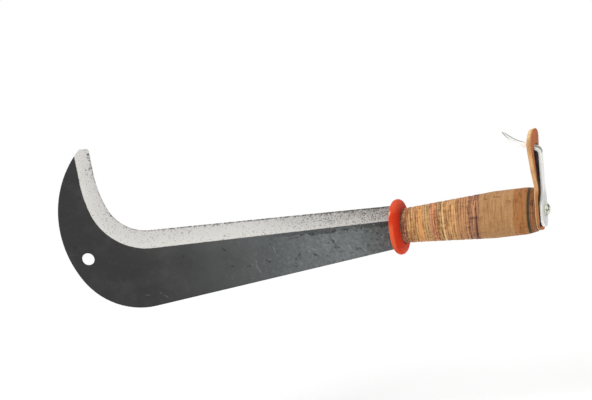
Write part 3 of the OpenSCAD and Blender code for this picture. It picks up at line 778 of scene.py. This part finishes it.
def thicken(shape, thick):
    """Gives a flat shape its thickness towards the butt."""
    bmesh.ops.recalc_face_normals(shape, faces=shape.faces)
    walls = bmesh.ops.extrude_face_region(shape, geom=shape.faces[:])["geom"]
    bmesh.ops.translate(shape, vec=(thick, 0, 0), verts=verts_of(walls))
    bmesh.ops.recalc_face_normals(shape, faces=shape.faces)


def rubbed_round(line):
    """True for an edge of the outline or the slot; the hole for the tang has only long ones, low down."""
    return line.calc_length() < 4 or line.verts[0].co.z > 16


upright, sideways = Vector((0, 0, 1)), Vector((0, 1, 0))
cut_across(shape, upright, CUT_HEIGHTS)
cut_across(shape, sideways, CUT_SIDES)
windows = (SLOT_HALF_W, SLOT_LOW, SLOT_HIGH), (bore_half_t, -bore_half_h, bore_half_h)
bmesh.ops.delete(shape, context="FACES", geom=[
    f for f in shape.faces if any(in_window(f, *window) for window in windows)])
thicken(shape, TONGUE_T)
soften(shape, corners(shape, 60, rubbed_round), TONGUE_SOFT_R, 4)


def cup(side):
    """How far the hook's plate bends forward into the leather at a distance from its middle."""
    return CUPPED * clamp((side / PLATE_R) ** 2)


for vert in shape.verts:
    deep, side, up = vert.co
    vert[on_tongue] = vert.co * MM
    tilt = max(0.0, BUTT_TILT - degrees(max(0.0, up - TONGUE_BEND_H) / TONGUE_BEND_R))
    bent = TONGUE_BEND_R * (cos(radians(tilt)) - cos(radians(BUTT_TILT)))
    vert.co.x = BUTT_X - TONGUE_T + deep + min(up, TONGUE_BEND_H) * sin(radians(BUTT_TILT)) + bent
    twist = TURNED + (TWIST_EASED - TURNED) * clamp((up - EASE_START) / EASE_LEN)
    twist += (TWIST_TOP - TWIST_EASED) * clamp((up - TWIST_START) / TWIST_LEN)
    free = clamp((up - TONGUE_BEND_H) / (TONGUE_H - TONGUE_BEND_H))
    vert.co.x += side * sin(radians(twist)) - BOW * sin(pi * free) + LEANT * free
    vert.co.x += TONGUE_UNEVEN * noise.noise(vert.co / TONGUE_UNEVEN_LEN) * clamp(free * 4)
    pressed = clamp((PRESS_TOP - up) / PRESS_FADE_H) * clamp((PRESS_SIDE - abs(side)) / PRESS_FADE_W)
    vert.co.x -= cup(side) * pressed * deep / TONGUE_T
    vert.co.z -= SKIVED * (1 - deep / TONGUE_T) * clamp(1 - (TONGUE_H - up) / TONGUE_END_H)
tongue_finish, shader, place = new_finish("sole_leather", Specular_IOR_Level=0.06)
on_hide = place.stored("on_tongue")
depth, offside, height = on_hide.parts()
streaks = on_hide.mottle((300, 300, 110), 4, 0.65)
suede = on_hide.mottle((900, 900, 700), 5, 0.8)
pebbles = on_hide.node("TexVoronoi", {}, {"Vector": on_hide, "Scale": 900.0})
patches = on_hide.mottle((80, 80, 60), 3, 0.6)
layers = on_hide.mottle((1500, 60, 60), 3, 0.6)
nicks = on_hide.mottle((380, 380, 260), 4, 0.7).rise(0.60, 0.70)

# the flesh side in front, the grain side behind, and the layers in the cut edge between them
half_thick = TONGUE_T / 2
broad = (depth - half_thick * MM).size().rise_mm(half_thick - 0.6, half_thick - 0.15)
grain_side = (streaks.rise(0.3, 0.75) * 0.5 + patches * 0.4).blend(GRAIN_LIGHT, GRAIN_DARK)
grain_side = grain_side.coated((pebbles.rise(0.35, 0.75) * 0.25, GRAIN_PEBBLE))
flesh_side = (suede.rise(0.3, 0.7) * 0.6 + patches.rise(0.35, 0.7) * 0.4).blend(FLESH_LIGHT, FLESH_DARK)
both_sides = depth.rise_mm(1, 3).blend(flesh_side, grain_side)
low_down = 1 - height.rise_mm(16, 22)
cut_side = depth.rise_mm(2.6, 3.8).blend(CUT_FRONT, CUT_REAR).coated(
    (layers.rise(0.35, 0.7) * 0.4 + patches.rise(0.4, 0.7) * 0.4, CUT_LAYER),
    (height.rise_mm(60, 65) * (1 - depth.rise_mm(1.8, 2.8)) * 0.6, CUT_TOP),
    (low_down * depth.rise_mm(0.5, 1.2) * 0.95, CUT_STACK),
    (low_down * (1 - depth.rise_mm(0.4, 0.9)) * 0.7, CUT_STACK_FRONT),
)

# painted shade: black on the rear face behind the arm, where the arm shades the leather, and on the rear rim
# round the plate
ragged = (patches - 0.5) * 0.006
beside = offside.size() + ragged - (1 - height.rise_mm(24, 44)) * 0.0065 + (suede - 0.5) * 0.002
arched = height + ragged * 0.5 + beside * beside * 25
behind = (1 - beside.rise_mm(8.6, 12.2)) * height.rise_mm(6, 9) * (1 - arched.rise_mm(52.5, 55))
joint = height.rise_mm(-15, -9) * (1 - height.rise_mm(10, 20)) * (depth + ragged * 0.1).rise_mm(2.8, 3.4)
painted_shade = (behind * depth.rise_mm(TONGUE_T - 0.6, TONGUE_T - 0.25) + joint).rise()
feed(shader, {
    "Base Color": broad.blend(cut_side, both_sides).coated(
        (nicks * 0.5, TONGUE_NICK), (painted_shade * 0.95, PAINTED_SHADE_BLACK)),
    "Roughness": 0.64 + (streaks - 0.5) * 0.25,
    "Normal": bump(suede * 0.4 + layers * 0.4 + patches * 0.6 - nicks - pebbles * broad * 0.4, 0.3, 0.6),
})
fit_piece(shape, "tongue_leather", tongue_finish, "tongue_leather", ["tongue"], 60)


# Belt hook.
# One strip of plated steel: a round plate that is cupped a little under the peened tang, a neck and an
# arm that stand up behind the tongue, a bend through its slot, and a prong forged to a leaf and a point.
NECK_LOW, NECK_W, NECK_H, NECK_CURVE = 10.6, 17.6, 20.0, 1.6
ARM_W, STRIP_T, ARM_LEN, BEND_R, STRIP_SOFT_R = 9.0, 2.4, 36.4, 4.2, 0.5
REACH_SLOPE, REACH_LEN, PRONG_R, PRONG_TURN, PRONG_LEN = 21.5, 13.6, 20.0, 27.0, 8.0
PRONG_TIP_T, PRONG_W, PRONG_TIP_W, LEAF_LEN = 0.9, 10.4, 1.6, 24.5
PLATE_STEPS, STRIP_STEPS, STRIP_CUTS = 56, 70, 76
PLATED_LIGHT, PLATED_GREY, PLATED_SHADED_REAR = (254, 253, 245), (232, 233, 228), (232, 233, 226)
PLATED_SHADED_DISC, EDGE_HIGHLIGHT_WHITE, LEAF_WHITE = (200, 201, 198), (255, 255, 251), (255, 255, 254)
LEAF_RIM, BEND_DARK, PLATE_RING_DARK, RUST = (90, 86, 80), (92, 86, 78), (82, 80, 74), (112, 104, 94)
bend_turn = 90 + BUTT_TILT - REACH_SLOPE
bend_len, curve_len = radians(bend_turn) * BEND_R, radians(PRONG_TURN) * PRONG_R
arm_top = NECK_LOW + ARM_LEN
bend_end = arm_top + bend_len
strip_len = bend_end + REACH_LEN + curve_len + PRONG_LEN
leaf_start = strip_len - LEAF_LEN


def strip_half_w(run):
    """Half the strip's width at a length along it from the plate's centre."""
    if run > leaf_start:
        share = (run - leaf_start) / LEAF_LEN
        swell = PRONG_W - (ARM_W + PRONG_TIP_W) / 2
        return (ARM_W + (PRONG_TIP_W - ARM_W) * share + swell * sin(pi * share)) / 2
    if run > NECK_LOW:
        share = clamp((run - NECK_LOW) / (NECK_H - NECK_LOW))
        return ARM_W / 2 + (NECK_W / 2 - ARM_W / 2) * (1 - share) ** NECK_CURVE
    return sqrt(max(0.0, PLATE_R ** 2 - run ** 2))


shape = bmesh.new()
on_strip = shape.verts.layers.float_vector.new("on_strip")
plate_turn = degrees(atan2(NECK_W / 2, NECK_LOW))
start = shape.verts.new((0, PLATE_R * sin(radians(plate_turn)), PLATE_R * cos(radians(plate_turn))))
outline = draw_arc(shape, start, (0, 0, 0), 360 - 2 * plate_turn, PLATE_STEPS, (-1, 0, 0))
runs = ramp(NECK_LOW, strip_len, STRIP_STEPS)[2:]
sides = [(0, -strip_half_w(run), run) for run in runs]
sides += [(0, strip_half_w(run), run) for run in reversed(runs)]
draw_through(shape, outline[-1], sides)
bmesh.ops.contextual_create(shape, geom=shape.edges[:])
cut_across(shape, upright, ramp(NECK_LOW, strip_len, STRIP_CUTS)[:-1])
cut_across(shape, sideways, [0])
thicken(shape, STRIP_T)
soften(shape, corners(shape, 50), STRIP_SOFT_R, 3)


def strip_place(run):
    """Where the middle of the strip lies at a length along it, and the direction that it runs in."""
    spot = Vector((BUTT_X, 0, 0)) + STRIP_T / 2 * way(-BUTT_TILT)
    heading = 90 - BUTT_TILT
    for length, radius, turn in ((arm_top, 0, 0), (bend_len, BEND_R, bend_turn), (REACH_LEN, 0, 0),
                                 (curve_len, -PRONG_R, -PRONG_TURN), (PRONG_LEN + 1, 0, 0)):
        part = min(run, length) if run > 0 else run
        if turn:
            turned = turn * part / length
            spot = spot + radius * left(heading) - radius * left(heading + turned)
            heading += turned
        else:
            spot = spot + part * way(heading)
        run -= length
        if run <= 0:
            break
    return spot, heading


for vert in shape.verts:
    deep, side, run = vert.co
    vert[on_strip] = Vector((deep, strip_half_w(run) - abs(side), run)) * MM
    middle, heading = strip_place(run)
    thin = 1 + (PRONG_TIP_T / STRIP_T - 1) * max(0.0, run - bend_end) / (strip_len - bend_end)
    vert.co = middle - (deep - STRIP_T / 2) * thin * left(heading)
    vert.co += Vector((side * tan(radians(TURNED)), side, 0))
    vert.co.x -= cup(side)
hook_finish, shader, place = new_finish("plated_steel", Metallic=0.18, Specular_IOR_Level=0.3)
strip = place.stored("on_strip")
depth, from_side, run_along = strip.parts()
brushed = strip.mottle((300, 500, 60), 4, 0.6)
haze = place.mottle(60, 3, 0.6)
rust = place.mottle(420, 4, 0.7).rise(0.62, 0.74)
leaf = run_along.rise_mm(leaf_start + 2, leaf_start + 6)
far_half = place.parts()[1].rise_mm(0, 1)
rims = 1 - from_side.rise_mm(0.2, 0.6)
leaf_rim = rims * run_along.rise_mm(leaf_start + 8, strip_len) * 0.8
leaf_rim = leaf_rim + (1 - from_side.rise_mm(1.8, 3)) * far_half
leaf_rim = (leaf_rim * run_along.rise_mm(leaf_start + 1, leaf_start + 8)).rise()
rear_side = depth.rise_mm(STRIP_T - 0.25, STRIP_T - 0.05)
# painted shade: the rear faces of the plate and the arm are greyer than the rest of the strip
rear = rear_side * (1 - run_along.rise_mm(arm_top, bend_end))
# darker, in patches, on the outer face of the bend
bend_patches = place.mottle(300, 4, 0.7).rise(0.3, 0.5) * from_side.rise_mm(1, 1.8) * 0.85
in_bend = run_along.rise_mm(arm_top - 1, arm_top + 1) * (1 - run_along.rise_mm(bend_end, bend_end + 3))
# painted shade: a darker grey on the rear face of the plate
by_plate = (1 - run_along.rise_mm(13, 20)) * rear_side
# darker in a ring on the plate round the peened head
by_head = 1 - place.away_from(((BUTT_X + STRIP_T) * MM, 0.0, 0.0)).rise_mm(5.7, 7.4)
feed(shader, {
    "Base Color": (brushed.rise(0.3, 0.8) * 0.5 + haze * 0.4).blend(PLATED_LIGHT, PLATED_GREY).coated(
        (leaf * 0.9, LEAF_WHITE),
        (leaf_rim * 0.9, LEAF_RIM),
        (rear * 0.9, PLATED_SHADED_REAR),
        (in_bend * rear_side * bend_patches, BEND_DARK),
        # painted highlight: near white side edges, also where they lie in shade
        (rims * (1 - leaf), EDGE_HIGHLIGHT_WHITE),
        (by_plate * 0.9, PLATED_SHADED_DISC),
        (by_head * haze.rise(0.3, 0.6) * 0.7, PLATE_RING_DARK),
        (rust * (1 - leaf) * 0.55, RUST),
    ),
    "Roughness": 0.36 + (brushed - 0.5) * 0.25,
    "Normal": bump(brushed * 0.4 + haze, 0.15, 0.5),
})
fit_piece(shape, "belt_hook_strip", hook_finish, "bright_steel", ["belt_hook"], 50)


# Peened head.
# The end of the tang, hammered over the hook's plate into a rough dome that clamps the whole stack.
# The blows leave flats, and grime stays in the hollows between them.
HEAD_D, HEAD_H, HEAD_FLAT_D, HEAD_SUNK = 11.3, 3.7, 3.2, 0.15
LUMPS, LUMP_LEN, BLOWS, BLOW_LEN, BLOW_SHIFT = 0.045, 2.4, 0.02, 3.1, Vector((5, 3, 1))
HEAD_STEPS, HEAD_UNDER_STEPS, HEAD_DOME_STEPS, HEAD_TOP_STEPS = 48, 2, 10, 3
HEAD_LIGHT, HEAD_DARK, HEAD_HOLLOW = (236, 237, 216), (204, 206, 186), (44, 42, 38)
shape = bmesh.new()
head_c = ((HEAD_FLAT_D / 2) ** 2 + HEAD_H ** 2 - (HEAD_D / 2) ** 2) / (2 * HEAD_H)
rim_dir = degrees(atan2(-head_c, HEAD_D / 2))
flat_dir = degrees(atan2(HEAD_H - head_c, HEAD_FLAT_D / 2))
under = draw_line(shape, shape.verts.new((0, 0, 0)), (0, 0, HEAD_D / 2), HEAD_UNDER_STEPS)
dome = draw_arc(shape, under[-1], (head_c, 0, 0), rim_dir - flat_dir, HEAD_DOME_STEPS)
draw_line(shape, dome[-1], (HEAD_H, 0, 0), HEAD_TOP_STEPS)
turn_round(shape, HEAD_STEPS)
for vert in shape.verts:
    if vert.co.x > 0.05:
        blow = noise.cell(vert.co / BLOW_LEN + BLOW_SHIFT)
        vert.co *= 1 + LUMPS * noise.noise(vert.co / LUMP_LEN) + BLOWS * blow
bmesh.ops.translate(shape, vec=(STRIP_T - HEAD_SUNK, 0, 0), verts=shape.verts)
for turn, axis in ((BUTT_TILT, "Y"), (-TURNED, "Z")):
    bmesh.ops.rotate(shape, cent=(0, 0, 0), matrix=Matrix.Rotation(radians(turn), 3, axis), verts=shape.verts)
bmesh.ops.translate(shape, vec=(BUTT_X, 0, 0), verts=shape.verts)
head_finish, shader, place = new_finish("peened_steel", Metallic=0.4, Specular_IOR_Level=0.3)
dents = place.mottle(420, 3, 0.6)
grime = place.mottle(300, 4, 0.7).rise(0.5, 0.62)
feed(shader, {
    "Base Color": dents.blend(HEAD_LIGHT, HEAD_DARK).coated((grime * 0.9, HEAD_HOLLOW)),
    "Roughness": 0.38 + grime * 0.3,
    "Normal": bump(dents - grime * 0.5, 0.5, 0.8),
})
fit_piece(shape, "peened_head", head_finish, "forged_steel", ["blade"], 60)


# Studio.
# A pale floor, a soft light from the upper left in front, a weaker one from the right and one from
# above, and a long lens at the place from which the photograph was taken. Lengths here are in metres.
FLOOR_Z, FLOOR_SIZE, FLOOR_NEAR, FLOOR_FAR = -0.19, 40.0, 0.25, 0.9
FLOOR_WHITE, WHITE = (0.97, 0.97, 0.97, 1), (1, 1, 1, 1)
SKY_LIGHT = 0.55
LAMPS = (
    ("key", (-1.3, -1.7, 1.9), 1.4, 46), ("fill", (1.8, -1.5, 0.6), 1.2, 7), ("top", (-0.2, 0.9, 2.0), 1.4, 14),
)
LAMP_AIM = Vector((-0.08, 0, 0.02))
TARGET, DISTANCE, LENS, SENSOR_W, CLIP_END = Vector((-0.08238, 0, 0.03228)), 3.0, 224.4, 36.0, 100.0
AZIMUTH, ELEVATION, ROLL = radians(9.8), radians(13.5), radians(9.3)
shape = bmesh.new()
bmesh.ops.create_grid(shape, x_segments=1, y_segments=1, size=FLOOR_SIZE,
                      matrix=Matrix.Translation((0, 0, FLOOR_Z)))
floor = put_in_scene(shape, "floor")
floor_finish, shader, place = new_finish("pale_floor", Base_Color=FLOOR_WHITE, Roughness=0.9,
                                         Specular_IOR_Level=0.0)
glow = place.node("Emission", {}, {"Color": WHITE, "Strength": 1.0})
far = place.away_from((0, 0, 0)).rise(FLOOR_NEAR, FLOOR_FAR)
faded = place.node("MixShader", {}, {0: far, 1: Tone(shader.outputs[0]), 2: glow})
feed(floor_finish.node_tree.nodes["Material Output"], {"Surface": faded})
floor.data.materials.append(floor_finish)

world = bpy.data.worlds.new("studio")
bpy.context.scene.world = world
world.use_nodes = True
rays = world.node_tree.nodes.new("ShaderNodeLightPath").outputs
seen = Tone(rays["Is Camera Ray"]) + Tone(rays["Is Glossy Ray"]) + Tone(rays["Is Transmission Ray"])
sky = SKY_LIGHT + seen.rise(0.0, 0.5) * (1 - SKY_LIGHT)
feed(world.node_tree.nodes["Background"], {"Color": WHITE, "Strength": sky})

for name, spot, size, power in LAMPS:
    lamp = bpy.data.lights.new(name, "AREA")
    lamp.size, lamp.energy = size, power
    light = bpy.data.objects.new(name, lamp)
    light.location = spot
    light.rotation_mode = "QUATERNION"
    light.rotation_quaternion = (LAMP_AIM - Vector(spot)).to_track_quat("-Z", "Y")
    light.visible_camera = False
    bpy.context.scene.collection.objects.link(light)

back = Vector((sin(AZIMUTH) * cos(ELEVATION), -cos(AZIMUTH) * cos(ELEVATION), sin(ELEVATION)))
level = Vector((cos(AZIMUTH), sin(AZIMUTH), 0))
upward = back.cross(level)
right = level * cos(ROLL) - upward * sin(ROLL)
top = level * sin(ROLL) + upward * cos(ROLL)
lens = bpy.data.cameras.new("camera")
lens.lens, lens.sensor_width, lens.clip_end = LENS, SENSOR_W, CLIP_END
camera = bpy.data.objects.new("camera", lens)
facing = Matrix((right, top, back)).transposed().to_4x4()
camera.matrix_world = Matrix.Translation(TARGET + back * DISTANCE) @ facing
bpy.context.scene.collection.objects.link(camera)
bpy.context.scene.camera = camera
bpy.context.scene.view_settings.view_transform = "Standard"
